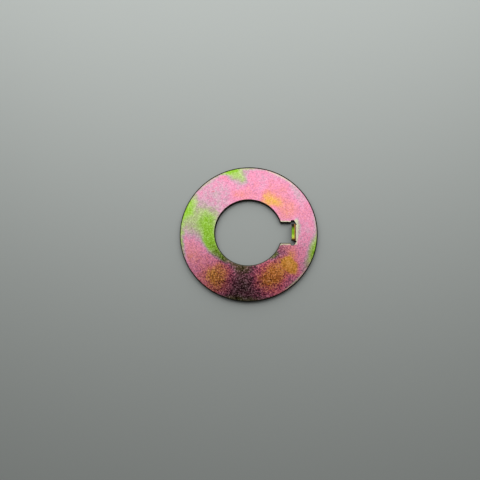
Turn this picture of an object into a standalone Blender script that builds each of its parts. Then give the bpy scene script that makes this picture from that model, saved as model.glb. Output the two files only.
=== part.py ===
"""Lock washer: a flat round washer stamped from sheet steel, with one square tang bent up
out of a notch in its bore.

Metres, +Z up. The washer lies flat with its underside at Z = 0, the bore's axis is the
Z axis, and the notch and the tang lie towards +X. Run it in Blender 4.5.
"""

import math

import bmesh
import bpy
from mathutils import Vector

MM = 0.001
MICRON = 0.000001

# Sheet and ring
OUTER_DIAMETER = 42.0 * MM
BORE_DIAMETER = 20.3 * MM
SHEET_THICKNESS = 1.2 * MM

# Tang: its height is from the washer's underside, and its neutral line from the inner skin
TANG_WIDTH = 5.1 * MM
TANG_HEIGHT = 2.4 * MM
TANG_CORNER_RADIUS = 0.5 * MM
BEND_INSIDE_RADIUS = 0.2 * MM
BEND_ANGLE = math.radians(90.0)
NEUTRAL_LINE_SHARE = 0.44

# Notch: from the bore's edge to the tang's face, and beside the tang
NOTCH_LENGTH = 2.9 * MM
NOTCH_SIDE_GAP = 0.55 * MM

# Relief cuts at the two ends of the bend, each narrower away from the tang
RELIEF_DEPTH = 0.75 * MM
RELIEF_BEFORE_TANG = 0.05 * MM
RELIEF_PAST_BEND = 0.05 * MM
RELIEF_NEAR_RADIUS = 0.15 * MM
RELIEF_FAR_RADIUS = 0.2 * MM
RELIEF_SLANT = math.radians(30.0)

# Sheared edges: rolled over on the face that the punch entered, less so in the tight relief
# cuts, and nearly sharp on the other face
DIE_ROLL = 0.35 * MM
RELIEF_ROLL = 0.15 * MM
BURR_SIDE_BREAK = 0.07 * MM

# Fineness of the round forms
RIM_FACETS = 160
BORE_FACETS = 96
CORNER_FACETS = 5
BEND_FACETS = 8
EDGE_FACETS = 3
SHARP_ANGLE = math.radians(40.0)
FLAT_ANGLE = math.radians(0.5)
LARGEST_ROUNDING = 0.9  # share of a short side that a rounding may take

# Yellow chromate over zinc, seen from a distance
CHROMATE_COLOUR = (0.62, 0.40, 0.42, 1.0)
CHROMATE_ROUGHNESS = 0.32
CHROMATE_METALLIC = 1.0

# Sizes that follow from the ones above
NOTCH_HALF_WIDTH = TANG_WIDTH / 2 + NOTCH_SIDE_GAP
TANG_FACE_TO_AXIS = BORE_DIAMETER / 2 + NOTCH_LENGTH
BEND_OUTSIDE_RADIUS = BEND_INSIDE_RADIUS + SHEET_THICKNESS
BEND_NEUTRAL_RADIUS = BEND_INSIDE_RADIUS + NEUTRAL_LINE_SHARE * SHEET_THICKNESS
BEND_FLAT_LENGTH = BEND_ANGLE * BEND_NEUTRAL_RADIUS
BEND_LINE_X = TANG_FACE_TO_AXIS + BEND_OUTSIDE_RADIUS
BEND_RISE = SHEET_THICKNESS + BEND_INSIDE_RADIUS * (1 - math.cos(BEND_ANGLE))
TANG_STRAIGHT_LENGTH = (TANG_HEIGHT - BEND_RISE) / math.sin(BEND_ANGLE)
PUNCH_SIDE = "punch_side"


def clear_scene():
    """Removes every object that the file opened with."""
    for old in list(bpy.data.objects):
        bpy.data.objects.remove(old, do_unlink=True)


def arc_points(centre, radius, start, end, facets):
    """Points on an arc, both ends included."""
    step = (end - start) / facets
    angles = [start + step * i for i in range(facets + 1)]
    return [centre + radius * Vector((math.cos(a), math.sin(a))) for a in angles]


def relief_outline():
    """One relief cut, on the +Y side, from the notch's side round to the bend's end."""
    near_x = TANG_FACE_TO_AXIS - RELIEF_BEFORE_TANG
    outer_y = NOTCH_HALF_WIDTH + RELIEF_DEPTH
    near_radius = min(RELIEF_NEAR_RADIUS, RELIEF_DEPTH / 2)
    near_centre = Vector((near_x + near_radius, outer_y - near_radius))
    root_centre = Vector((BEND_LINE_X, TANG_WIDTH / 2 + RELIEF_PAST_BEND))
    rise = outer_y - RELIEF_FAR_RADIUS - root_centre.y
    run = RELIEF_FAR_RADIUS - RELIEF_PAST_BEND + rise * math.sin(RELIEF_SLANT)
    far_centre = root_centre + Vector((-run / math.cos(RELIEF_SLANT), rise))
    return [
        Vector((near_x, NOTCH_HALF_WIDTH)),
        *arc_points(near_centre, near_radius, math.pi, math.pi / 2, CORNER_FACETS),
        *arc_points(far_centre, RELIEF_FAR_RADIUS, math.pi / 2, RELIEF_SLANT, CORNER_FACETS),
        *arc_points(root_centre, RELIEF_PAST_BEND, RELIEF_SLANT, -math.pi / 2, CORNER_FACETS),
    ]


def opening_outline():
    """The whole opening as one closed outline: bore, notch, both reliefs and the bend line."""
    bore_radius = BORE_DIAMETER / 2
    mouth_angle = math.asin(NOTCH_HALF_WIDTH / bore_radius)
    relief = relief_outline()
    mirrored = [Vector((p.x, -p.y)) for p in reversed(relief)]
    bore = arc_points(
        Vector((0.0, 0.0)), bore_radius, -mouth_angle, mouth_angle - 2 * math.pi, BORE_FACETS
    )
    return relief + mirrored + bore


def pierced_ring():
    """The flat ring as a filled outline at Z = 0, with its opening pierced."""
    outline = bpy.data.curves.new("ring_outline", "CURVE")
    outline.dimensions = "2D"
    outline.fill_mode = "BOTH"
    rim = arc_points(Vector((0.0, 0.0)), OUTER_DIAMETER / 2, 0.0, 2 * math.pi, RIM_FACETS)
    for points in (rim[:-1], opening_outline()):
        spline = outline.splines.new("POLY")
        spline.points.add(len(points) - 1)
        for point, place in zip(spline.points, points):
            point.co = (place.x, place.y, 0.0, 1.0)
        spline.use_cyclic_u = True
    guide = bpy.data.objects.new("ring_outline", outline)
    bpy.context.scene.collection.objects.link(guide)
    depsgraph = bpy.context.evaluated_depsgraph_get()
    mesh = bpy.data.meshes.new_from_object(guide.evaluated_get(depsgraph))
    bpy.data.objects.remove(guide, do_unlink=True)
    bpy.data.curves.remove(outline)
    return mesh


def on_bend_line(edge):
    """Whether an edge of the pierced ring is the tang's root."""
    return all(
        abs(v.co.x - BEND_LINE_X) < MICRON and abs(v.co.y) < TANG_WIDTH / 2 + MICRON
        for v in edge.verts
    )


def lay_out_tang(sheet):
    """Adds the tang to the flat sheet, with a cross line at each facet of the bend to come."""
    end = [e for e in sheet.edges if e.is_boundary and on_bend_line(e)]
    facet = BEND_FLAT_LENGTH / BEND_FACETS
    for length in [facet] * BEND_FACETS + [TANG_STRAIGHT_LENGTH]:
        grown = bmesh.ops.extrude_edge_only(sheet, edges=end)["geom"]
        tip = [g for g in grown if isinstance(g, bmesh.types.BMVert)]
        end = [g for g in grown if isinstance(g, bmesh.types.BMEdge)]
        bmesh.ops.translate(sheet, verts=tip, vec=Vector((-length, 0.0, 0.0)))
    shortest_side = min(TANG_WIDTH / 2, TANG_STRAIGHT_LENGTH)
    bmesh.ops.bevel(
        sheet,
        geom=tip,
        offset=min(TANG_CORNER_RADIUS, LARGEST_ROUNDING * shortest_side),
        offset_type="OFFSET",
        segments=CORNER_FACETS,
        profile=0.5,
        affect="VERTICES",
    )


def blank_sheet():
    """The washer's flat blank, as one open surface at Z = 0 that faces down."""
    mesh = pierced_ring()
    sheet = bmesh.new()
    sheet.from_mesh(mesh)
    bmesh.ops.remove_doubles(sheet, verts=sheet.verts, dist=MICRON)
    bmesh.ops.dissolve_limit(
        sheet, angle_limit=FLAT_ANGLE, verts=sheet.verts, edges=sheet.edges
    )
    lay_out_tang(sheet)
    bmesh.ops.recalc_face_normals(sheet, faces=sheet.faces)
    sheet.faces.ensure_lookup_table()
    if sheet.faces[0].normal.z > 0:
        bmesh.ops.reverse_faces(sheet, faces=sheet.faces)
    sheet.to_mesh(mesh)
    sheet.free()
    return mesh


def thickened(mesh):
    """The blank at full thickness. Its upper skin is marked as the side the punch entered."""
    sheet = bpy.data.objects.new("blank", mesh)
    bpy.context.scene.collection.objects.link(sheet)
    sheet.vertex_groups.new(name=PUNCH_SIDE)
    solidify = sheet.modifiers.new("sheet_thickness", "SOLIDIFY")
    solidify.thickness = SHEET_THICKNESS
    solidify.offset = -1.0
    solidify.shell_vertex_group = PUNCH_SIDE
    depsgraph = bpy.context.evaluated_depsgraph_get()
    solid = bpy.data.meshes.new_from_object(
        sheet.evaluated_get(depsgraph), preserve_all_data_layers=True, depsgraph=depsgraph
    )
    bpy.data.objects.remove(sheet, do_unlink=True)
    return solid


def folded(place):
    """Where a point of the flat tang lies once the tang is bent up.

    The sheet keeps its length on the neutral line, so it turns evenly along the bend.
    """
    along = BEND_LINE_X - place.x
    turn = min(along / BEND_NEUTRAL_RADIUS, BEND_ANGLE)
    beyond = max(along - BEND_FLAT_LENGTH, 0.0)
    radius = SHEET_THICKNESS + BEND_INSIDE_RADIUS - place.z
    return Vector(
        (
            BEND_LINE_X - radius * math.sin(turn) - beyond * math.cos(turn),
            place.y,
            BEND_OUTSIDE_RADIUS - radius * math.cos(turn) + beyond * math.sin(turn),
        )
    )


def fold_tang(solid):
    """Bends the tang up. It is all that lies in the opening between the two reliefs."""
    for vertex in solid.verts:
        in_width = abs(vertex.co.y) < TANG_WIDTH / 2 + MICRON
        if in_width and 0.0 < vertex.co.x < BEND_LINE_X - MICRON:
            vertex.co = folded(vertex.co)


def in_relief(place):
    """True for a place on the outline of a relief cut."""
    beside_tang = abs(place.y) > TANG_WIDTH / 2 + MICRON
    past_notch = place.x > TANG_FACE_TO_AXIS - RELIEF_BEFORE_TANG - MICRON
    return beside_tang and past_notch and place.xy.length < BEND_LINE_X + RELIEF_DEPTH


def weigh_sheared_edges(solid):
    """Gives each sheared edge its share of the bevel: the die roll on the punch side only."""
    groups = solid.verts.layers.deform.verify()
    weights = solid.edges.layers.float.new("bevel_weight_edge")
    for edge in solid.edges:
        if edge.calc_face_angle(0.0) > SHARP_ANGLE:
            middle = (edge.verts[0].co + edge.verts[1].co) / 2
            rounding = RELIEF_ROLL if in_relief(middle) else DIE_ROLL
            if not all(0 in v[groups] for v in edge.verts):
                rounding = BURR_SIDE_BREAK
            edge[weights] = rounding / DIE_ROLL


def chromate_material():
    """Yellow chromate on zinc plate: a satin metal, warm pink where the film is thickest."""
    material = bpy.data.materials.new("yellow_chromate")
    material.use_nodes = True
    shader = material.node_tree.nodes["Principled BSDF"]
    shader.inputs["Base Color"].default_value = CHROMATE_COLOUR
    shader.inputs["Roughness"].default_value = CHROMATE_ROUGHNESS
    shader.inputs["Metallic"].default_value = CHROMATE_METALLIC
    return material


def build_washer(collection):
    """The washer: blank, thickness, fold and sheared edges."""
    mesh = thickened(blank_sheet())
    solid = bmesh.new()
    solid.from_mesh(mesh)
    fold_tang(solid)
    bmesh.ops.recalc_face_normals(solid, faces=solid.faces)
    weigh_sheared_edges(solid)
    solid.to_mesh(mesh)
    solid.free()
    mesh.materials.append(chromate_material())
    mesh.shade_smooth()
    mesh.set_sharp_from_angle(angle=SHARP_ANGLE)

    washer = bpy.data.objects.new("lock_washer", mesh)
    collection.objects.link(washer)
    sheared_edges = washer.modifiers.new("sheared_edges", "BEVEL")
    sheared_edges.width = DIE_ROLL
    sheared_edges.segments = EDGE_FACETS
    sheared_edges.limit_method = "WEIGHT"
    sheared_edges.use_clamp_overlap = False


def main():
    clear_scene()
    collection = bpy.data.collections.new("lock_washer")
    bpy.context.scene.collection.children.link(collection)
    build_washer(collection)


main()
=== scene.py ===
"""Chromate lock washer: the plated washer, its studio and its camera.

Laid out as a Blender add-on and run as a script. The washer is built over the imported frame,
in metres, +Z up, lying on its flat underside with the notch and the tang towards +X.
"""

import math
from types import SimpleNamespace
from typing import NamedTuple

import bmesh
import bpy
from bpy.props import FloatProperty, FloatVectorProperty, IntProperty, PointerProperty
from mathutils import Matrix, Vector


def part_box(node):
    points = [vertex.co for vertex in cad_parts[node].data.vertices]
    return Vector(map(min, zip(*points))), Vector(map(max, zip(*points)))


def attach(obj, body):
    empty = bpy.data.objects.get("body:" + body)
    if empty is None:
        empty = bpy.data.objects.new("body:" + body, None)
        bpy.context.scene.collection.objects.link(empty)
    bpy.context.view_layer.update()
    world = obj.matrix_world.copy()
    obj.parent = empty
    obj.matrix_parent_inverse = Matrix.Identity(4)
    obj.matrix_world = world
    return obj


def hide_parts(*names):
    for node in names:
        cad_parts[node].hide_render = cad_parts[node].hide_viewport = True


bl_info = {
    "name": "Chromate Lock Washer",
    "version": (1, 0, 0),
    "blender": (4, 5, 0),
    "location": "3D View > Sidebar > Washer",
    "description": "Builds a tanged lock washer in yellow chromate, with its studio and camera",
    "category": "Add Mesh",
}

MM = 0.001
MICRON = 0.000001

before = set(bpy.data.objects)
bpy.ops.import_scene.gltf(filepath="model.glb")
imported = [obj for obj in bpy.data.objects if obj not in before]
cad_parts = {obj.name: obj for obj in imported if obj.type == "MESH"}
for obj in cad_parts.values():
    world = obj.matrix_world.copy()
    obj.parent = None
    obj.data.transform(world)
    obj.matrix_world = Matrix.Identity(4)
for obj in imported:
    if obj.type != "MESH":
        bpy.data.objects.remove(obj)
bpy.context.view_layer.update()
NODE_LOW, NODE_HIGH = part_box("lock_washer")
OUTER_DIAMETER = NODE_HIGH.x - NODE_LOW.x
OVERALL_HEIGHT = NODE_HIGH.z - NODE_LOW.z

# Tolerances and shares of the mesh work
SHARP_ANGLE = math.radians(40.0)
FLAT_ANGLE = math.radians(0.1)
LARGEST_ROUNDING = 0.9  # share of a short side that a rounding may take
PUNCH_SIDE = "punch_side"

# The picture: square, with the middle of the washer's upper face at this pixel
PICTURE_PIXELS = 480
WASHER_PIXEL = (248.2, 232.2)
SENSOR_WIDTH_MM = 36.0
NEAREST_SHOWN = 10.0 * MM


def linear(hex_colour):
    """An sRGB hex colour as linear RGBA."""
    channels = [int(hex_colour[i : i + 2], 16) / 255 for i in (1, 3, 5)]
    return (*(c / 12.92 if c <= 0.04045 else ((c + 0.055) / 1.055) ** 2.4 for c in channels), 1.0)


def colour_setting(name, description, hex_colour):
    """A colour among the settings, given as an sRGB hex colour."""
    return FloatVectorProperty(
        name=name,
        description=description,
        default=linear(hex_colour),
        subtype="COLOR",
        size=4,
        min=0.0,
        max=1.0,
    )


def add_node(tree, kind, inputs=None, **settings):
    """Adds a node with its settings. An input takes a value, or the node or socket it is fed by."""
    node = tree.nodes.new(kind)
    for name, value in settings.items():
        setattr(node, name, value)
    for name, value in (inputs or {}).items():
        if isinstance(value, bpy.types.Node):
            value = next(socket for socket in value.outputs if socket.enabled)
        if isinstance(value, bpy.types.NodeSocket):
            tree.links.new(value, node.inputs[name])
        else:
            node.inputs[name].default_value = value
    return node


class WasherSizes(bpy.types.PropertyGroup):
    """Sizes of the stamped and bent washer."""

    outer_diameter: FloatProperty(
        name="Outer diameter",
        description="Across the round rim",
        default=OUTER_DIAMETER,
        unit="LENGTH",
    )
    bore_diameter: FloatProperty(
        name="Bore diameter",
        description="Across the round bore",
        default=20.3 * MM,
        unit="LENGTH",
    )
    sheet_thickness: FloatProperty(
        name="Sheet thickness",
        description="Thickness of the sheet steel",
        default=1.2 * MM,
        unit="LENGTH",
    )
    tang_width: FloatProperty(
        name="Tang width",
        description="Across the tang, along the bend",
        default=5.1 * MM,
        unit="LENGTH",
    )
    tang_height: FloatProperty(
        name="Tang height",
        description="From the washer's underside to the tang's tip",
        default=OVERALL_HEIGHT,
        unit="LENGTH",
    )
    tang_corner_radius: FloatProperty(
        name="Tang corner radius",
        description="Rounding of the two corners of the tang's tip",
        default=0.5 * MM,
        unit="LENGTH",
    )
    bend_inside_radius: FloatProperty(
        name="Bend inside radius",
        description="Radius on the hollow side of the tang's bend",
        default=0.2 * MM,
        unit="LENGTH",
    )
    bend_angle: FloatProperty(
        name="Bend angle",
        description="How far the tang is turned up from the sheet",
        default=math.radians(90.0),
        unit="ROTATION",
        subtype="ANGLE",
    )
    neutral_line: FloatProperty(
        name="Neutral line",
        description="Depth of the line that keeps its length in the bend, as a share of the sheet",
        default=0.44,
        subtype="FACTOR",
    )
    notch_length: FloatProperty(
        name="Notch length",
        description="From the bore's edge to the tang's face",
        default=2.9 * MM,
        unit="LENGTH",
    )
    notch_side_gap: FloatProperty(
        name="Notch side gap",
        description="By how much the notch is wider than the tang, on each side",
        default=0.55 * MM,
        unit="LENGTH",
    )
    relief_depth: FloatProperty(
        name="Relief depth",
        description="How far a relief cut reaches past the notch's side",
        default=0.75 * MM,
        unit="LENGTH",
    )
    relief_before_tang: FloatProperty(
        name="Relief before tang",
        description="How far the relief cut starts before the tang's face",
        default=0.05 * MM,
        unit="LENGTH",
    )
    relief_past_bend: FloatProperty(
        name="Relief past bend",
        description="How far the relief cut runs past the line where the bend starts",
        default=0.05 * MM,
        unit="LENGTH",
    )
    relief_near_radius: FloatProperty(
        name="Relief near radius",
        description="Radius of the relief cut's corner beside the notch",
        default=0.15 * MM,
        unit="LENGTH",
    )
    relief_far_radius: FloatProperty(
        name="Relief far radius",
        description="Radius of the relief cut's corner away from the notch",
        default=0.2 * MM,
        unit="LENGTH",
    )
    relief_slant: FloatProperty(
        name="Relief slant",
        description="Slant of the relief cut's far side, which narrows it away from the tang",
        default=math.radians(30.0),
        unit="ROTATION",
        subtype="ANGLE",
    )
    die_roll: FloatProperty(
        name="Die roll",
        description="Rounding of the edges on the face that the punch entered",
        default=0.35 * MM,
        unit="LENGTH",
    )
    relief_roll: FloatProperty(
        name="Relief roll",
        description="Smaller rounding of those edges in the tight relief cuts",
        default=0.15 * MM,
        unit="LENGTH",
    )
    burr_side_break: FloatProperty(
        name="Burr side break",
        description="Small rounding of the edges on the face that the punch left",
        default=0.07 * MM,
        unit="LENGTH",
    )
    rim_facets: IntProperty(
        name="Rim facets", description="Facets round the rim, a multiple of four", default=512
    )
    bore_facets: IntProperty(
        name="Bore facets", description="Facets round the bore", default=288
    )
    corner_facets: IntProperty(
        name="Corner facets", description="Facets of each rounded corner", default=12
    )
    bend_facets: IntProperty(
        name="Bend facets", description="Facets along the tang's bend", default=24
    )
    edge_facets: IntProperty(
        name="Edge facets", description="Facets across each rolled edge", default=6
    )


class ChromateFinish(bpy.types.PropertyGroup):
    """Colours of the plating: the film as it grows thicker, then painted shade, painted highlights,
    dark edges and the tang.
    """

    film_green: colour_setting(
        "Green film", "The thinnest film, as beside the bore and on the rim", "#9CD23C"
    )
    film_pale_green: colour_setting("Pale green film", "Edge of a green patch", "#B8D47E")
    film_beige: colour_setting("Beige film", "Where green goes over to pink", "#BDBA98")
    film_mauve: colour_setting("Mauve film", "Pale edge of the pink", "#D8ACBE")
    film_pink: colour_setting("Pink film", "The main colour of the plating", "#F69ABE")
    film_salmon: colour_setting("Salmon film", "Edge of a gold patch", "#F99A98")
    film_gold: colour_setting("Gold film", "The thickest film", "#F8C050")
    # Bare zinc, and painted glints: pale specks where crystals catch the light
    bare_zinc_and_glint: colour_setting(
        "Bare zinc", "The zinc's own colour, on crystals that glint through the film", "#C6C4C0"
    )
    # Painted shade: what the darker, redder bottom leaves of the film's colour
    painted_shade_rose: colour_setting(
        "Deep rose", "What a coarse crystal leaves of the film's colour", "#F2BAC6"
    )
    # Painted shade: the plum that the painted dark reflection and shade leave of the film's colour
    painted_shade_plum: colour_setting("Dark plum", "What the darkest film leaves of its colour", "#382232")
    # Painted highlight: the pale colour where the edges catch the light
    painted_highlight_cream: colour_setting(
        "Edge cream", "Pale film where the sheet starts to roll over an edge", "#E2E6C0"
    )
    # Painted shade: the dark outline on the steep part of the edges and on the rim's roll
    painted_shade_olive: colour_setting(
        "Edge olive", "Dark film on the steep part of a rolled edge", "#2B2617"
    )
    # The two wall colours are the sheared steel's own, darkened further as painted shade
    smooth_wall: colour_setting(
        "Smooth wall", "Film on the band of a sheared wall that the punch wiped smooth", "#2E2919"
    )
    torn_wall: colour_setting("Torn wall", "Film on the rough band of a sheared wall", "#1E1B12")
    # Painted highlight on the tang's end
    tang_painted_highlight: colour_setting(
        "Tang bright", "Film on the brightest place of the tang's end", "#D4F85C"
    )
    tang_green: colour_setting("Tang green", "Film on the middle of the tang's end", "#86B626")
    tang_brown: colour_setting(
        "Tang brown", "Film on the tang's face away from the bore", "#D48A4C"
    )
    roughness: FloatProperty(
        name="Roughness",
        description="Roughness of the satin zinc under the film",
        default=0.34,
        min=0.0,
        max=1.0,
        subtype="FACTOR",
    )


class StudioSettings(bpy.types.PropertyGroup):
    """The floor, the light and the camera."""

    floor_colour: colour_setting("Floor colour", "Colour of the plain floor", "#CCD2CE")
    floor_side: FloatProperty(
        name="Floor side",
        description="Length of the floor's sides",
        default=2000.0 * MM,
        unit="LENGTH",
    )
    softbox_width: FloatProperty(
        name="Softbox width",
        description="Length of the softbox's level sides",
        default=320.0 * MM,
        unit="LENGTH",
    )
    softbox_depth: FloatProperty(
        name="Softbox depth",
        description="Length of the softbox's leaning sides",
        default=186.0 * MM,
        unit="LENGTH",
    )
    softbox_distance: FloatProperty(
        name="Softbox distance",
        description="From the washer to the middle of the softbox",
        default=125.0 * MM,
        unit="LENGTH",
    )
    softbox_lean: FloatProperty(
        name="Softbox lean",
        description="Angle of the softbox from straight above",
        default=math.radians(44.5),
        subtype="ANGLE",
        unit="ROTATION",
    )
    softbox_azimuth: FloatProperty(
        name="Softbox azimuth",
        description="Direction of the softbox round the washer, from +X towards +Y",
        default=math.radians(92.0),
        subtype="ANGLE",
        unit="ROTATION",
    )
    softbox_level: FloatProperty(
        name="Softbox level",
        description="Brightness of the softbox, where 1 shows a white reflection as white",
        default=1.1,
        min=0.0,
    )
    room_light: FloatProperty(
        name="Room light",
        description="Strength of the light that comes from all sides",
        default=0.1,
        min=0.0,
    )
    camera_tilt: FloatProperty(
        name="Camera tilt",
        description="Angle between the camera's axis and straight down",
        default=math.radians(12.7),
        subtype="ANGLE",
        unit="ROTATION",
    )
    camera_azimuth: FloatProperty(
        name="Camera azimuth",
        description="Direction of the camera round the washer, from +X towards +Y",
        default=math.radians(-74.7),
        subtype="ANGLE",
        unit="ROTATION",
    )
    camera_roll: FloatProperty(
        name="Camera roll",
        description="Turn of the camera about its own axis",
        default=math.radians(0.8),
        subtype="ANGLE",
        unit="ROTATION",
    )
    camera_distance: FloatProperty(
        name="Camera distance",
        description="From the washer's upper face to the camera, along the camera's axis",
        default=143.0 * MM,
        unit="LENGTH",
    )
    focal_length: FloatProperty(
        name="Focal length",
        description="Focal length of the lens in millimetres",
        default=35.3,
        unit="CAMERA",
    )


def bend_sizes(sizes):
    """Sizes of the opening and the bend that follow from the washer's own."""
    outside = sizes.bend_inside_radius + sizes.sheet_thickness
    neutral = sizes.bend_inside_radius + sizes.neutral_line * sizes.sheet_thickness
    rise = sizes.sheet_thickness + sizes.bend_inside_radius * (1 - math.cos(sizes.bend_angle))
    tang_face_x = sizes.bore_diameter / 2 + sizes.notch_length
    return SimpleNamespace(
        notch_half_width=sizes.tang_width / 2 + sizes.notch_side_gap,
        tang_face_x=tang_face_x,
        outside_radius=outside,
        neutral_radius=neutral,
        flat_length=sizes.bend_angle * neutral,
        line_x=tang_face_x + outside,
        straight_length=(sizes.tang_height - rise) / math.sin(sizes.bend_angle),
    )


def arc_points(centre, radius, start, end, facets):
    """Points on an arc, both ends included."""
    step = (end - start) / facets
    angles = [start + step * i for i in range(facets + 1)]
    return [centre + radius * Vector((math.cos(a), math.sin(a))) for a in angles]


def relief_outline(sizes, bend):
    """One relief cut, on the +Y side, from the notch's side round to the bend's end."""
    near_x = bend.tang_face_x - sizes.relief_before_tang
    outer_y = bend.notch_half_width + sizes.relief_depth
    root_radius = sizes.relief_past_bend
    near_radius = sizes.relief_near_radius
    far_radius = sizes.relief_far_radius
    slant = sizes.relief_slant
    near_centre = Vector((near_x + near_radius, outer_y - near_radius))
    root_centre = Vector((bend.line_x, sizes.tang_width / 2 + root_radius))
    rise = outer_y - far_radius - root_centre.y
    far_step = (far_radius - root_radius + rise * math.sin(slant)) / math.cos(slant)
    far_centre = root_centre + Vector((-far_step, rise))
    facets = sizes.corner_facets
    return [
        Vector((near_x, bend.notch_half_width)),
        *arc_points(near_centre, near_radius, math.pi, math.pi / 2, facets),
        *arc_points(far_centre, far_radius, math.pi / 2, slant, facets),
        *arc_points(root_centre, root_radius, slant, -math.pi / 2, facets),
    ]


def opening_outline(sizes, bend):
    """The whole opening as one closed outline: bore, notch, both reliefs and the bend line."""
    radius = sizes.bore_diameter / 2
    mouth = math.asin(bend.notch_half_width / radius)
    relief = relief_outline(sizes, bend)
    mirrored = [Vector((p.x, -p.y)) for p in reversed(relief)]
    centre = Vector((0.0, 0.0))
    return relief + mirrored + arc_points(
        centre, radius, -mouth, mouth - 2 * math.pi, sizes.bore_facets
    )


def pierced_ring(sizes, bend):
    """The flat ring as a filled outline at Z = 0, with its opening pierced."""
    outline = bpy.data.curves.new("ring_outline", "CURVE")
    outline.dimensions = "2D"
    outline.fill_mode = "BOTH"
    centre = Vector((0.0, 0.0))
    rim = arc_points(centre, sizes.outer_diameter / 2, 0.0, 2 * math.pi, sizes.rim_facets)
    for points in (rim[:-1], opening_outline(sizes, bend)):
        spline = outline.splines.new("POLY")
        spline.points.add(len(points) - 1)
        for point, place in zip(spline.points, points):
            point.co = (place.x, place.y, 0.0, 1.0)
        spline.use_cyclic_u = True
    guide = bpy.data.objects.new("ring_outline", outline)
    bpy.context.scene.collection.objects.link(guide)
    depsgraph = bpy.context.evaluated_depsgraph_get()
    mesh = bpy.data.meshes.new_from_object(guide.evaluated_get(depsgraph))
    bpy.data.objects.remove(guide, do_unlink=True)
    bpy.data.curves.remove(outline)
    return mesh


def lay_out_tang(sheet, sizes, bend):
    """Adds the tang to the flat sheet, with a cross line at each facet of the bend to come."""
    half_width = sizes.tang_width / 2 + MICRON
    end = [
        e
        for e in sheet.edges
        if e.is_boundary
        and all(abs(v.co.x - bend.line_x) < MICRON and abs(v.co.y) < half_width for v in e.verts)
    ]
    facet = bend.flat_length / sizes.bend_facets
    for length in [facet] * sizes.bend_facets + [bend.straight_length]:
        grown = bmesh.ops.extrude_edge_only(sheet, edges=end)["geom"]
        tip = [g for g in grown if isinstance(g, bmesh.types.BMVert)]
        end = [g for g in grown if isinstance(g, bmesh.types.BMEdge)]
        bmesh.ops.translate(sheet, verts=tip, vec=Vector((-length, 0.0, 0.0)))
    shortest_side = min(sizes.tang_width / 2, bend.straight_length)
    bmesh.ops.bevel(
        sheet,
        geom=tip,
        offset=min(sizes.tang_corner_radius, LARGEST_ROUNDING * shortest_side),
        offset_type="OFFSET",
        segments=sizes.corner_facets,
        profile=0.5,
        affect="VERTICES",
    )


def blank_sheet(sizes, bend, materials):
    """The washer's flat blank, as one open surface at Z = 0 that faces down."""
    mesh = pierced_ring(sizes, bend)
    for material in materials:
        mesh.materials.append(material)
    sheet = bmesh.new()
    sheet.from_mesh(mesh)
    bmesh.ops.remove_doubles(sheet, verts=sheet.verts, dist=MICRON)
    bmesh.ops.dissolve_limit(
        sheet, angle_limit=FLAT_ANGLE, verts=sheet.verts, edges=sheet.edges
    )
    lay_out_tang(sheet, sizes, bend)
    bmesh.ops.recalc_face_normals(sheet, faces=sheet.faces)
    sheet.faces.ensure_lookup_table()
    if sheet.faces[0].normal.z > 0:
        bmesh.ops.reverse_faces(sheet, faces=sheet.faces)
    sheet.to_mesh(mesh)
    sheet.free()
    return mesh


def thickened(mesh, sizes):
    """The blank at full thickness, with its walls in the second material.

    Its upper skin is marked as the side that the punch entered.
    """
    sheet = bpy.data.objects.new("blank", mesh)
    bpy.context.scene.collection.objects.link(sheet)
    sheet.vertex_groups.new(name=PUNCH_SIDE)
    solidify = sheet.modifiers.new("sheet_thickness", "SOLIDIFY")
    solidify.thickness = sizes.sheet_thickness
    solidify.offset = -1.0
    solidify.shell_vertex_group = PUNCH_SIDE
    solidify.material_offset_rim = 1
    depsgraph = bpy.context.evaluated_depsgraph_get()
    solid = bpy.data.meshes.new_from_object(
        sheet.evaluated_get(depsgraph), preserve_all_data_layers=True, depsgraph=depsgraph
    )
    bpy.data.objects.remove(sheet, do_unlink=True)
    return solid


def folded(place, sizes, bend):
    """Where a point of the flat tang lies once the tang is bent up.

    The sheet keeps its length on the neutral line, so it turns evenly along the bend.
    """
    along = bend.line_x - place.x
    turn = min(along / bend.neutral_radius, sizes.bend_angle)
    beyond = max(along - bend.flat_length, 0.0)
    radius = bend.outside_radius - place.z
    return Vector(
        (
            bend.line_x - radius * math.sin(turn) - beyond * math.cos(turn),
            place.y,
            bend.outside_radius - radius * math.cos(turn) + beyond * math.sin(turn),
        )
    )


def fold_tang(solid, sizes, bend):
    """Bends the tang up. It is all that lies in the opening between the two reliefs."""
    for vertex in solid.verts:
        in_width = abs(vertex.co.y) < sizes.tang_width / 2 + MICRON
        if in_width and 0.0 < vertex.co.x < bend.line_x - MICRON:
            vertex.co = folded(vertex.co, sizes, bend)


def in_relief(place, sizes, bend):
    """True for a place on the outline of a relief cut."""
    beside_tang = abs(place.y) > sizes.tang_width / 2 + MICRON
    past_notch = place.x > bend.tang_face_x - sizes.relief_before_tang - MICRON
    return beside_tang and past_notch and place.xy.length < bend.line_x + sizes.relief_depth


def weigh_sheared_edges(solid, sizes, bend):
    """Gives each sheared edge its share of the bevel: the die roll on the punch side only."""
    groups = solid.verts.layers.deform.verify()
    weights = solid.edges.layers.float.new("bevel_weight_edge")
    for edge in solid.edges:
        if edge.calc_face_angle(0.0) > SHARP_ANGLE:
            middle = (edge.verts[0].co + edge.verts[1].co) / 2
            rounding = sizes.relief_roll if in_relief(middle, sizes, bend) else sizes.die_roll
            if not all(0 in v[groups] for v in edge.verts):
                rounding = sizes.burr_side_break
            edge[weights] = rounding / sizes.die_roll


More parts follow.
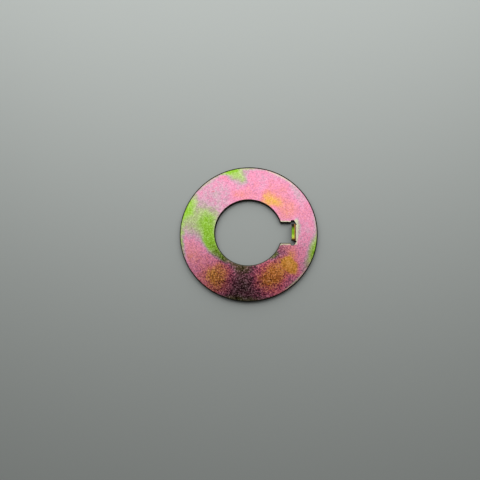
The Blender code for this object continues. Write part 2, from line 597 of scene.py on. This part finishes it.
def washer_mesh(sizes, materials):
    """The washer's mesh: blank, thickness and fold, with its sheared edges marked."""
    bend = bend_sizes(sizes)
    mesh = thickened(blank_sheet(sizes, bend, materials), sizes)
    solid = bmesh.new()
    solid.from_mesh(mesh)
    fold_tang(solid, sizes, bend)
    bmesh.ops.recalc_face_normals(solid, faces=solid.faces)
    weigh_sheared_edges(solid, sizes, bend)
    if any(not edge.is_manifold for edge in solid.edges):
        raise RuntimeError("the washer's mesh is not closed")
    solid.to_mesh(mesh)
    solid.free()
    mesh.shade_smooth()
    return mesh


# The upper face is unrolled into a strip for its patches: degrees round the ring from +X, and
# millimetres from the axis. The strip is cut open where the film is plain.
STRIP_CUT = 76.0
STRIP_RADIUS = 15.6  # millimetres, the middle of the ring, where the strip has its true length


class Patch(NamedTuple):
    """A soft oval on the strip: its middle, its half sizes in millimetres and its turn.

    The long half size runs along the ring, or is turned from it by so many degrees.
    """

    name: str
    angle: float
    radius: float
    half_length: float
    half_width: float
    turn: float
    change: float


# Thinner film below zero, thicker film above, as a share of the whole range of colours
FILM_PATCHES = (
    Patch("top rim wedge", 101, 18.8, 5.0, 3.3, 61, -0.52),
    Patch("top rim", 108, 20.8, 3.2, 2.0, 0, -0.28),
    Patch("top rim band", 112, 21.3, 14.0, 2.2, 0, -0.30),
    Patch("top rim band right", 80, 21.4, 6.0, 1.8, 0, -0.22),
    Patch("upper right rim band", 411, 20.3, 10.0, 3.4, 0, -0.10),
    Patch("upper left", 136, 14.8, 8.0, 7.0, 0, -0.20),
    Patch("left rim", 158, 20.6, 5.6, 3.4, 0, -0.50),
    Patch("lower left rim band", 184, 21.0, 8.0, 2.0, 0, -0.46),
    Patch("left of the bore", 166, 12.4, 7.4, 4.9, 0, -0.55),
    Patch("left field", 168, 17.0, 8.0, 5.6, 0, -0.33),
    Patch("bore edge left", 188, 11.4, 6.4, 3.8, 0, -0.56),
    Patch("bore edge tail", 206, 11.4, 9.5, 2.6, -9, -0.66),
    Patch("bore edge tail tip", 232, 10.8, 5.0, 1.8, 0, -0.50),
    Patch("right rim", 344, 21.1, 5.8, 3.2, 0, -0.66),
    Patch("right rim band", 366, 21.2, 6.0, 1.6, 0, -0.30),
    Patch("bore edge lower right", 318, 10.6, 3.6, 1.8, 0, -0.56),
    Patch("bore edge bottom", 262, 10.8, 8.0, 2.4, 0, -0.30),
    Patch("bottom rim", 266, 21.2, 7.0, 2.4, 0, -0.45),
    Patch("gold above the notch", 417, 12.5, 5.8, 3.8, 0, 0.36),
    Patch("salmon above the notch", 393, 13.9, 6.6, 5.0, 0, 0.20),
    Patch("salmon over the bore", 105, 12.8, 3.6, 2.2, 0, 0.18),
    Patch("salmon bore edge", 90, 11.4, 6.0, 2.4, 0, 0.10),
    Patch("bright gold lower right", 321.8, 16.4, 4.8, 2.6, 99, 0.62),
    Patch("gold lower right", 302, 15.2, 9.8, 6.0, 0, 0.42),
    Patch("gold lower left", 237, 16.4, 6.8, 7.0, 0, 0.38),
    Patch("gold below the notch", 333, 14.6, 3.4, 2.6, 0, 0.24),
    Patch("salmon left", 206, 16.8, 10.0, 6.0, 0, 0.12),
    Patch("speck", 131, 17.1, 0.45, 0.35, 0, 0.30),
    Patch("beside the tang", 368, 14.9, 4.2, 1.5, 0, -0.20),
    Patch("dark film", 264, 16.0, 8.0, 12.0, 0, -0.17),
    Patch("upper left clearing", 134, 14.4, 5.0, 5.6, 0, 0.08),
    Patch("salmon top", 416, 17.6, 4.6, 3.4, 0, 0.09),
    Patch("mauve over the gold", 311, 18.9, 4.4, 2.8, 0, -0.12),
    Patch("crimson below the notch", 338, 12.4, 3.6, 2.6, 0, 0.10),
    Patch("left of the bore low", 192, 14.2, 7.0, 3.2, -6, -0.14),
    Patch("lilac lower right", 325, 19.5, 3.6, 2.4, 0, -0.12),
    Patch("crimson lower left", 222, 17.6, 4.6, 4.4, 0, -0.05),
)

# Painted shade and reflection in plum, as a share of its whole depth; below zero clears it.
PAINTED_SHADE_AND_MARK_PATCHES = (
    Patch("bottom", 265, 18.6, 8.4, 12.4, 0, 0.50),
    Patch("bore edge lower right", 330, 11.4, 7.0, 3.4, 0, 0.50),
    Patch("bore edge lower left", 220, 11.2, 9.0, 2.8, 0, 0.42),
    # A real scratch and a real speck, not shade
    Patch("scratch", 239, 15.9, 0.9, 0.3, 70, 0.50),
    Patch("speck", 131, 17.1, 0.45, 0.35, 0, 0.30),
    Patch("bore edge bottom", 262, 10.4, 14.0, 2.6, 0, 0.25),
    Patch("bore edge green", 318, 10.6, 4.0, 2.4, 0, 0.30),
    Patch("around the bottom", 266, 17.0, 18.0, 18.0, 0, 0.36),
    Patch("bright gold", 321.8, 16.4, 4.8, 2.4, 99, -0.16),
    Patch("left field", 172, 14.0, 10.0, 7.0, 0, 0.12),
)

# Painted highlights along the rim, as a share of the whole, where the roll catches the light
PAINTED_RIM_HIGHLIGHTS = (
    Patch("lower right rim", 315, 20.5, 5.0, 0.32, 0, 0.60),
    Patch("upper right rim", 422, 20.45, 6.4, 0.5, 0, 0.50),
)

# Towards the bottom: painted shade, darker and redder, and coarser specks
SHADE_AND_COARSE_GRAIN_PATCHES = (Patch("lower half", 275, 17.0, 24.0, 24.0, 0, 1.00),)

# Share of its size within which a patch is whole
FILM_CORE = 0.1
COARSE_CORE = 0.2
RIM_CORE = 0.3

FILM_BASE = 0.62  # the pink of the plain film on the range of colours
FILM_STOPS = (0.0, 0.18, 0.34, 0.50, 0.62, 0.80, 1.0)  # green to gold
WANDER_MM = 2.4  # how far the outline of a patch strays

# Grains to the millimetre. The zinc's crystals are a few hundredths of a millimetre across, too
# fine to show, so they are drawn ten times coarser, as the specks that the eye makes out.
CRYSTALS_PER_MM = 1.6
SPECKS_PER_MM = 2.9
CLOUDS_PER_MM = 0.35
CLOUD_SHARE = 0.36
CRYSTAL_SHARE = 0.36
SPECK_SHARE = 0.5  # towards the bottom only, under the painted shade
GLINT_SHARE = 0.8

# How strongly the specks lighten and darken the film
SPECK_DEPTH_FINE = 1.1
SPECK_DEPTH_LOW = 3.2
SPECK_DEPTH_IN_SHADE = 3.0  # more, in the painted shade
DARKEST_SPECK = 0.1
CRYSTAL_HEIGHT = 24 * MICRON
SATIN_SPREAD = 0.08  # by how much the roughness differs from cloud to cloud

# Edges. A slope is given as its cosine, at the start and at the end of a change.
HIGHLIGHT_MARGIN_MM = 0.65  # how far the painted highlight reaches from the notch and the bend
HIGHLIGHT_BESIDE_NOTCH = 0.8
HIGHLIGHT_ON_ROLL = 0.5
ROLL_STARTS = (0.9999, 0.99)
ROLL_IS_STEEP = (0.997, 0.965)
ROLL_FADE_MM = (-0.04, 0.06)  # from where the roll starts
ROLL_OFFSET_MM = (0.01, 0.10, 0.0)  # towards +Y, where the painted dark outline on the rim is wider
THICK_MM = 1000.0  # more than the washer's height, for a shape that is the same at each height

# Sheared walls: the real streaks are 0.1 mm apart, too fine to show, and drawn twice as coarse
STREAKS_PER_MM = 5.0
STREAK_SQUEEZE = (1.0, 1.0, 0.2)  # draws the streaks out along Z, the way the punch went
STREAK_LEVELS = (0.4, 1.6)
STREAK_HEIGHT = 30 * MICRON
TORN_SHARE = 0.55  # share of the wall's height that is torn, from the underside
TORN_WANDER_MM = 0.5
TORN_ROUGHNESS = 0.6
SMOOTH_ROUGHNESS = 0.35
END_STOPS = (0.0, 0.22, 0.40, 0.60, 0.84)  # across the tang's end, from -Y: a painted highlight, then painted shade at +Y

PAINT_ROUGHNESS = 0.6  # the floor's


def plated_material(name):
    """A new material with its coordinates, and the place on the washer in millimetres."""
    material = bpy.data.materials.new(name)
    material.use_nodes = True
    tree = material.node_tree
    tree.nodes.clear()
    coordinates = add_node(tree, "ShaderNodeTexCoord")
    place = add_node(
        tree,
        "ShaderNodeVectorMath",
        {0: coordinates.outputs["Object"], "Scale": 1 / MM},
        operation="SCALE",
    )
    return material, coordinates, place


def unrolled(tree, place):
    """The ring unrolled: millimetres along the strip, and millimetres from the axis."""
    flat = add_node(
        tree, "ShaderNodeVectorMath", {0: place, 1: (1.0, 1.0, 0.0)}, operation="MULTIPLY"
    )
    turned = add_node(
        tree,
        "ShaderNodeVectorRotate",
        {"Vector": flat, "Angle": -math.radians(STRIP_CUT + 180.0)},
        rotation_type="Z_AXIS",
    )
    parts = add_node(tree, "ShaderNodeSeparateXYZ", {0: turned})
    angle = add_node(
        tree,
        "ShaderNodeMath",
        {0: parts.outputs["Y"], 1: parts.outputs["X"]},
        operation="ARCTAN2",
    )
    along = add_node(tree, "ShaderNodeMath", {0: angle, 1: STRIP_RADIUS}, operation="MULTIPLY")
    radius = add_node(tree, "ShaderNodeVectorMath", {0: flat}, operation="LENGTH")
    return add_node(tree, "ShaderNodeCombineXYZ", {"X": along, "Y": radius})


def patch_sum(tree, strip, patches, core):
    """Adds up the patches on the strip. A patch is whole within its core, a share of its size."""
    total = None
    for patch in patches:
        along = math.radians(patch.angle - STRIP_CUT - 180.0) * STRIP_RADIUS
        local = add_node(
            tree,
            "ShaderNodeMapping",
            {
                "Vector": strip,
                "Location": (along, patch.radius, 0.0),
                "Rotation": (0.0, 0.0, math.radians(patch.turn)),
                "Scale": (patch.half_length, patch.half_width, 1.0),
            },
            vector_type="TEXTURE",
            label=patch.name,
        )
        distance = add_node(tree, "ShaderNodeVectorMath", {0: local}, operation="LENGTH")
        shown = add_node(
            tree,
            "ShaderNodeMapRange",
            {
                "Value": distance,
                "From Min": 1.0,
                "From Max": core,
                "To Min": 0.0,
                "To Max": patch.change,
            },
            interpolation_type="SMOOTHSTEP",
        )
        if total is not None:
            shown = add_node(tree, "ShaderNodeMath", {0: total, 1: shown}, operation="ADD")
        total = shown
    return total


def colour_range(tree, position, stops, colours):
    """A smooth range of colours, with each colour at its stop."""
    shown = add_node(tree, "ShaderNodeValToRGB", {"Fac": position})
    elements = shown.color_ramp.elements
    while len(elements) < len(colours):
        elements.new(1.0)
    for element, stop, colour in zip(elements, stops, colours):
        element.position = stop
        element.color = colour
    return shown


def painted_edge_highlight(tree, place, slope, sizes):
    """Painted highlight on the edges: near the notch, and where the sheet starts to roll over.

    The notch is taken as a box that runs from well inside the bore to the line of the bend.
    """
    bend = bend_sizes(sizes)
    inner_x = sizes.bore_diameter / 2 - sizes.notch_length
    middle = ((inner_x + bend.line_x) / 2 / MM, 0.0, 0.0)
    half_width = (bend.notch_half_width + sizes.die_roll) / MM
    half = ((bend.line_x - inner_x) / 2 / MM, half_width, THICK_MM)
    from_middle = add_node(
        tree, "ShaderNodeVectorMath", {0: place, 1: middle}, operation="SUBTRACT"
    )
    either_side = add_node(tree, "ShaderNodeVectorMath", {0: from_middle}, operation="ABSOLUTE")
    beyond = add_node(
        tree, "ShaderNodeVectorMath", {0: either_side, 1: half}, operation="SUBTRACT"
    )
    outside = add_node(
        tree, "ShaderNodeVectorMath", {0: beyond, 1: (0.0, 0.0, 0.0)}, operation="MAXIMUM"
    )
    distance = add_node(tree, "ShaderNodeVectorMath", {0: outside}, operation="LENGTH")
    beside_notch = add_node(
        tree,
        "ShaderNodeMapRange",
        {
            "Value": distance,
            "From Min": HIGHLIGHT_MARGIN_MM,
            "From Max": HIGHLIGHT_MARGIN_MM / 3,
            "To Min": 0.0,
            "To Max": HIGHLIGHT_BESIDE_NOTCH,
        },
        interpolation_type="SMOOTHSTEP",
    )
    rolling = add_node(
        tree,
        "ShaderNodeMapRange",
        {
            "Value": slope,
            "From Min": ROLL_STARTS[0],
            "From Max": ROLL_STARTS[1],
            "To Min": 0.0,
            "To Max": HIGHLIGHT_ON_ROLL,
        },
        interpolation_type="SMOOTHSTEP",
    )
    return add_node(
        tree, "ShaderNodeMath", {0: beside_notch, 1: rolling}, operation="MAXIMUM"
    )


def rim_roll(tree, place, sizes):
    """How far a place is on the roll of the outer rim, for a painted dark outline wider towards +Y.
    """
    flat = add_node(
        tree,
        "ShaderNodeVectorMath",
        {0: place, 1: (1.0, 1.0, 0.0), 2: ROLL_OFFSET_MM},
        operation="MULTIPLY_ADD",
    )
    radius = add_node(tree, "ShaderNodeVectorMath", {0: flat}, operation="LENGTH")
    roll_start = (sizes.outer_diameter / 2 - sizes.die_roll) / MM
    return add_node(
        tree,
        "ShaderNodeMapRange",
        {
            "Value": radius,
            "From Min": roll_start + ROLL_FADE_MM[0],
            "From Max": roll_start + ROLL_FADE_MM[1],
            "To Min": 0.0,
            "To Max": 1.0,
        },
        interpolation_type="SMOOTHSTEP",
    )


def yellow_chromate_on_zinc_plate(finish, sizes):
    """Yellow chromate on zinc plate, dipped: to the eye, a thin coloured film over satin metal.

    The film's thickness wanders, so light that crosses it turns green, beige, pink, salmon
    and gold. The zinc's fine crystals speckle it.
    """
    material, coordinates, place = plated_material("yellow_chromate_on_zinc_plate")
    tree = material.node_tree

    # The strip for the patches, with their outlines led astray
    stray = add_node(
        tree,
        "ShaderNodeTexNoise",
        {"Vector": place, "Scale": CLOUDS_PER_MM, "Detail": 4.0, "Roughness": 0.6},
    )
    centred = add_node(
        tree,
        "ShaderNodeVectorMath",
        {0: stray.outputs["Color"], 1: (0.5, 0.5, 0.5)},
        operation="SUBTRACT",
    )
    strayed = add_node(
        tree,
        "ShaderNodeVectorMath",
        {0: centred, 1: (WANDER_MM, WANDER_MM, 0.0), 2: place},
        operation="MULTIPLY_ADD",
    )
    strip = unrolled(tree, strayed)

    # The film's thickness: patches, clouds, crystals and specks, each noise about its middle
    cloud = add_node(
        tree,
        "ShaderNodeTexNoise",
        {"Vector": place, "Scale": CLOUDS_PER_MM, "Detail": 3.0},
    )
    crystals = add_node(
        tree,
        "ShaderNodeTexNoise",
        {"Vector": place, "Scale": CRYSTALS_PER_MM, "Detail": 3.0, "Roughness": 0.75},
    )
    specks = add_node(
        tree,
        "ShaderNodeTexNoise",
        {"Vector": place, "Scale": SPECKS_PER_MM, "Detail": 1.0},
    )
    specks = add_node(tree, "ShaderNodeMath", {0: specks, 1: 0.5}, operation="SUBTRACT")
    # Towards the bottom: painted shade there, and coarser specks
    coarse = patch_sum(tree, strip, SHADE_AND_COARSE_GRAIN_PATCHES, COARSE_CORE)
    thickness = patch_sum(tree, strip, FILM_PATCHES, FILM_CORE)
    for pattern, share in ((cloud, CLOUD_SHARE), (crystals, CRYSTAL_SHARE)):
        thickness = add_node(
            tree,
            "ShaderNodeMath",
            {0: pattern, 1: share, 2: thickness},
            operation="MULTIPLY_ADD",
        )
    thickness = add_node(
        tree,
        "ShaderNodeMath",
        {0: thickness, 1: FILM_BASE - (CLOUD_SHARE + CRYSTAL_SHARE) / 2},
        operation="ADD",
    )
    coarse_specks = add_node(
        tree, "ShaderNodeMath", {0: specks, 1: coarse}, operation="MULTIPLY"
    )
    thickness = add_node(
        tree,
        "ShaderNodeMath",
        {0: coarse_specks, 1: SPECK_SHARE, 2: thickness},
        operation="MULTIPLY_ADD",
    )
    film_colours = (
        finish.film_green,
        finish.film_pale_green,
        finish.film_beige,
        finish.film_mauve,
        finish.film_pink,
        finish.film_salmon,
        finish.film_gold,
    )
    colour = colour_range(tree, thickness, FILM_STOPS, film_colours)

    # Painted shade: darker and redder towards the bottom, and plum where it is darkest
    dark = patch_sum(tree, strip, PAINTED_SHADE_AND_MARK_PATCHES, FILM_CORE)
    for share, shade_colour in ((coarse, finish.painted_shade_rose), (dark, finish.painted_shade_plum)):
        colour = add_node(
            tree,
            "ShaderNodeMix",
            {"Factor": share, "A": colour, "B": shade_colour},
            data_type="RGBA",
            blend_type="MULTIPLY",
        )
    depth = add_node(
        tree,
        "ShaderNodeMapRange",
        {"Value": coarse, "To Min": SPECK_DEPTH_FINE, "To Max": SPECK_DEPTH_LOW},
    )
    depth = add_node(
        tree,
        "ShaderNodeMath",
        {0: dark, 1: SPECK_DEPTH_IN_SHADE, 2: depth},
        operation="MULTIPLY_ADD",
    )
    # Painted glints: specks lightened towards bare zinc
    glint = add_node(
        tree,
        "ShaderNodeMath",
        {0: specks, 1: GLINT_SHARE},
        operation="MULTIPLY",
        use_clamp=True,
    )
    colour = add_node(
        tree,
        "ShaderNodeMix",
        {"Factor": glint, "A": colour, "B": finish.bare_zinc_and_glint},
        data_type="RGBA",
    )
    level = add_node(
        tree, "ShaderNodeMath", {0: specks, 1: depth, 2: 1.0}, operation="MULTIPLY_ADD"
    )
    level = add_node(tree, "ShaderNodeMath", {0: level, 1: DARKEST_SPECK}, operation="MAXIMUM")
    colour = add_node(
        tree, "ShaderNodeVectorMath", {0: colour, "Scale": level}, operation="SCALE"
    )

    # Painted highlight where the sheet starts to roll over its edges, painted olive shade where it
    # is steep, and brown on the tang's face away from the bore
    normal = add_node(tree, "ShaderNodeSeparateXYZ", {0: coordinates.outputs["Normal"]})
    slope = add_node(tree, "ShaderNodeMath", {0: normal.outputs["Z"]}, operation="ABSOLUTE")
    pale = painted_edge_highlight(tree, strayed, slope, sizes)
    rim_highlights = patch_sum(tree, unrolled(tree, place), PAINTED_RIM_HIGHLIGHTS, RIM_CORE)
    pale = add_node(tree, "ShaderNodeMath", {0: pale, 1: rim_highlights}, operation="MAXIMUM")
    # Painted shade: olive on steep slopes and on the rim's roll
    steep = add_node(
        tree,
        "ShaderNodeMapRange",
        {
            "Value": slope,
            "From Min": ROLL_IS_STEEP[0],
            "From Max": ROLL_IS_STEEP[1],
            "To Min": 0.0,
            "To Max": 1.0,
        },
        interpolation_type="SMOOTHSTEP",
    )
    wide_roll = rim_roll(tree, place, sizes)
    steep = add_node(tree, "ShaderNodeMath", {0: steep, 1: wide_roll}, operation="MAXIMUM")
    parts = add_node(tree, "ShaderNodeSeparateXYZ", {0: place})
    raised = add_node(
        tree,
        "ShaderNodeMapRange",
        {
            "Value": parts.outputs["Z"],
            "From Min": sizes.sheet_thickness / MM,
            "From Max": (sizes.sheet_thickness + sizes.bend_inside_radius / 4) / MM,
            "To Min": 0.0,
            "To Max": 1.0,
        },
        interpolation_type="SMOOTHSTEP",
    )
    outer_side = add_node(
        tree,
        "ShaderNodeMath",
        {0: normal.outputs["X"], 1: 0.0},
        operation="GREATER_THAN",
    )
    tang_back = add_node(tree, "ShaderNodeMath", {0: raised, 1: outer_side}, operation="MULTIPLY")
    for share, edge_colour in (
        (pale, finish.painted_highlight_cream),
        (steep, finish.painted_shade_olive),
        (tang_back, finish.tang_brown),
    ):
        colour = add_node(
            tree,
            "ShaderNodeMix",
            {"Factor": share, "A": colour, "B": edge_colour},
            data_type="RGBA",
        )

    bump = add_node(
        tree,
        "ShaderNodeBump",
        {"Height": crystals, "Strength": 1.0, "Distance": CRYSTAL_HEIGHT},
    )
    satin = add_node(
        tree,
        "ShaderNodeMapRange",
        {
            "Value": cloud,
            "To Min": finish.roughness - SATIN_SPREAD,
            "To Max": finish.roughness + SATIN_SPREAD,
        },
    )
    shader = add_node(
        tree,
        "ShaderNodeBsdfPrincipled",
        {"Base Color": colour, "Metallic": 1.0, "Roughness": satin, "Normal": bump},
    )
    add_node(tree, "ShaderNodeOutputMaterial", {"Surface": shader})
    return material


def yellow_chromate_on_sheared_steel(finish, sizes):
    """Yellow chromate on a punched wall: to the eye, dark olive metal with upright streaks.

    A smooth band lies under the rolled edge, a torn one below it, both darker as painted shade. The
    tang's end is green.
    """
    material, coordinates, place = plated_material("yellow_chromate_on_sheared_steel")
    tree = material.node_tree
    parts = add_node(tree, "ShaderNodeSeparateXYZ", {0: place})
    drawn_out = add_node(
        tree, "ShaderNodeVectorMath", {0: place, 1: STREAK_SQUEEZE}, operation="MULTIPLY"
    )
    streaks = add_node(
        tree,
        "ShaderNodeTexNoise",
        {"Vector": drawn_out, "Scale": STREAKS_PER_MM, "Detail": 3.0, "Roughness": 0.6},
    )
    torn_height = TORN_SHARE * sizes.sheet_thickness / MM
    torn_line = add_node(
        tree,
        "ShaderNodeMath",
        {0: streaks, 1: TORN_WANDER_MM, 2: torn_height - TORN_WANDER_MM / 2},
        operation="MULTIPLY_ADD",
    )
    smooth = add_node(
        tree,
        "ShaderNodeMath",
        {0: parts.outputs["Z"], 1: torn_line},
        operation="GREATER_THAN",
    )
    colour = add_node(
        tree,
        "ShaderNodeMix",
        {"Factor": smooth, "A": finish.torn_wall, "B": finish.smooth_wall},
        data_type="RGBA",
    )
    across_end = add_node(
        tree,
        "ShaderNodeMapRange",
        {
            "Value": parts.outputs["Y"],
            "From Min": -sizes.tang_width / 2 / MM,
            "From Max": sizes.tang_width / 2 / MM,
        },
    )
    end_colours = (
        finish.tang_brown,
        finish.tang_painted_highlight,
        finish.tang_green,
        finish.tang_green,
        finish.painted_shade_olive,
    )
    end_colour = colour_range(tree, across_end, END_STOPS, end_colours)
    normal = add_node(tree, "ShaderNodeSeparateXYZ", {0: coordinates.outputs["Normal"]})
    colour = add_node(
        tree,
        "ShaderNodeMix",
        {"Factor": normal.outputs["Z"], "A": colour, "B": end_colour},
        data_type="RGBA",
    )
    level = add_node(
        tree,
        "ShaderNodeMapRange",
        {"Value": streaks, "To Min": STREAK_LEVELS[0], "To Max": STREAK_LEVELS[1]},
    )
    colour = add_node(
        tree, "ShaderNodeVectorMath", {0: colour, "Scale": level}, operation="SCALE"
    )
    roughness = add_node(
        tree,
        "ShaderNodeMapRange",
        {"Value": smooth, "To Min": TORN_ROUGHNESS, "To Max": SMOOTH_ROUGHNESS},
    )
    bump = add_node(
        tree,
        "ShaderNodeBump",
        {"Height": streaks, "Strength": 1.0, "Distance": STREAK_HEIGHT},
    )
    shader = add_node(
        tree,
        "ShaderNodeBsdfPrincipled",
        {"Base Color": colour, "Metallic": 1.0, "Roughness": roughness, "Normal": bump},
    )
    add_node(tree, "ShaderNodeOutputMaterial", {"Surface": shader})
    return material


class WASHER_OT_build_plated_washer(bpy.types.Operator):
    """Builds the stamped, bent and plated washer"""

    bl_idname = "washer.build_plated_washer"
    bl_label = "Build Plated Washer"

    def execute(self, context):
        sizes = context.scene.washer_sizes
        finish = context.scene.washer_finish
        skin = yellow_chromate_on_zinc_plate(finish, sizes)
        walls = yellow_chromate_on_sheared_steel(finish, sizes)
        washer = bpy.data.objects.new("plated_washer", washer_mesh(sizes, (skin, walls)))
        context.scene.collection.objects.link(washer)
        sheared_edges = washer.modifiers.new("sheared_edges", "BEVEL")
        sheared_edges.width = sizes.die_roll
        sheared_edges.segments = sizes.edge_facets
        sheared_edges.limit_method = "WEIGHT"
        sheared_edges.use_clamp_overlap = False
        sheared_edges.harden_normals = True
        sheared_edges.material = washer.data.materials.find(skin.name)
        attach(washer, "root")
        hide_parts("lock_washer")
        return {"FINISHED"}


def plain_floor(studio):
    """A plain pale floor under the washer, of painted board: to the eye, pale grey and matt."""
    bpy.ops.mesh.primitive_plane_add(size=studio.floor_side)
    floor = bpy.context.object
    floor.name = "floor"
    material = bpy.data.materials.new("painted_board")
    material.use_nodes = True
    shader = material.node_tree.nodes["Principled BSDF"]
    shader.inputs["Base Color"].default_value = studio.floor_colour
    shader.inputs["Roughness"].default_value = PAINT_ROUGHNESS
    floor.data.materials.append(material)


def direction(lean, around):
    """The unit vector that leans so far from straight up, this way round the washer."""
    return Vector(
        (math.sin(lean) * math.cos(around), math.sin(lean) * math.sin(around), math.cos(lean))
    )


def softbox(studio):
    """One soft oblong light, behind and above the washer.

    At pi watts to the square metre, its reflection in a white mirror is white.
    """
    light = bpy.data.lights.new("softbox", "AREA")
    light.shape = "RECTANGLE"
    light.size = studio.softbox_width
    light.size_y = studio.softbox_depth
    light.energy = studio.softbox_level * math.pi * light.size * light.size_y
    lamp = bpy.data.objects.new("softbox", light)
    bpy.context.scene.collection.objects.link(lamp)
    towards = direction(studio.softbox_lean, studio.softbox_azimuth)
    lamp.location = towards * studio.softbox_distance
    lamp.rotation_euler = towards.to_track_quat("Z", "Y").to_euler()


def room_light(studio):
    """A plain even light from all sides."""
    world = bpy.data.worlds.new("room")
    world.use_nodes = True
    background = world.node_tree.nodes["Background"]
    background.inputs["Color"].default_value = (1.0, 1.0, 1.0, 1.0)
    background.inputs["Strength"].default_value = studio.room_light
    bpy.context.scene.world = world


def overhead_camera(studio, target):
    """The camera, nearly straight above, with the target at its pixel of the picture."""
    lens = bpy.data.cameras.new("camera")
    lens.sensor_width = SENSOR_WIDTH_MM
    lens.lens = studio.focal_length
    lens.clip_start = NEAREST_SHOWN
    camera = bpy.data.objects.new("camera", lens)
    bpy.context.scene.collection.objects.link(camera)
    back = direction(studio.camera_tilt, studio.camera_azimuth)
    level = Vector((1.0, 0.0, 0.0)) - back * back.x
    right = Matrix.Rotation(studio.camera_roll, 3, back) @ level.normalized()
    up = back.cross(right)
    pixel = SENSOR_WIDTH_MM / PICTURE_PIXELS / studio.focal_length * studio.camera_distance
    aside = (WASHER_PIXEL[0] - PICTURE_PIXELS / 2) * pixel
    above = (PICTURE_PIXELS / 2 - WASHER_PIXEL[1]) * pixel
    place = target + back * studio.camera_distance - right * aside - up * above
    turned = Matrix((right, up, back)).transposed().to_4x4()
    camera.matrix_world = Matrix.Translation(place) @ turned
    bpy.context.scene.camera = camera


class WASHER_OT_build_studio(bpy.types.Operator):
    """Builds the floor, the light and the camera"""

    bl_idname = "washer.build_studio"
    bl_label = "Build Studio"

    def execute(self, context):
        studio = context.scene.washer_studio
        plain_floor(studio)
        softbox(studio)
        room_light(studio)
        upper_face = Vector((0.0, 0.0, context.scene.washer_sizes.sheet_thickness))
        overhead_camera(studio, upper_face)
        context.scene.view_settings.view_transform = "Standard"
        return {"FINISHED"}


class WASHER_PT_sidebar(bpy.types.Panel):
    """Lists the washer's operators and settings"""

    bl_idname = "WASHER_PT_sidebar"
    bl_label = "Lock Washer"
    bl_space_type = "VIEW_3D"
    bl_region_type = "UI"
    bl_category = "Washer"

    def draw(self, context):
        layout = self.layout
        layout.operator(WASHER_OT_build_plated_washer.bl_idname)
        layout.operator(WASHER_OT_build_studio.bl_idname)
        scene = context.scene
        for group in (scene.washer_sizes, scene.washer_finish, scene.washer_studio):
            box = layout.box()
            for name in group.__annotations__:
                box.prop(group, name)


CLASSES = (
    WasherSizes,
    ChromateFinish,
    StudioSettings,
    WASHER_OT_build_plated_washer,
    WASHER_OT_build_studio,
    WASHER_PT_sidebar,
)


def register():
    for cls in CLASSES:
        bpy.utils.register_class(cls)
    bpy.types.Scene.washer_sizes = PointerProperty(type=WasherSizes)
    bpy.types.Scene.washer_finish = PointerProperty(type=ChromateFinish)
    bpy.types.Scene.washer_studio = PointerProperty(type=StudioSettings)


def unregister():
    del bpy.types.Scene.washer_studio
    del bpy.types.Scene.washer_finish
    del bpy.types.Scene.washer_sizes
    for cls in reversed(CLASSES):
        bpy.utils.unregister_class(cls)


def main():
    register()
    bpy.ops.washer.build_plated_washer()
    bpy.ops.washer.build_studio()


if __name__ == "__main__":
    main()
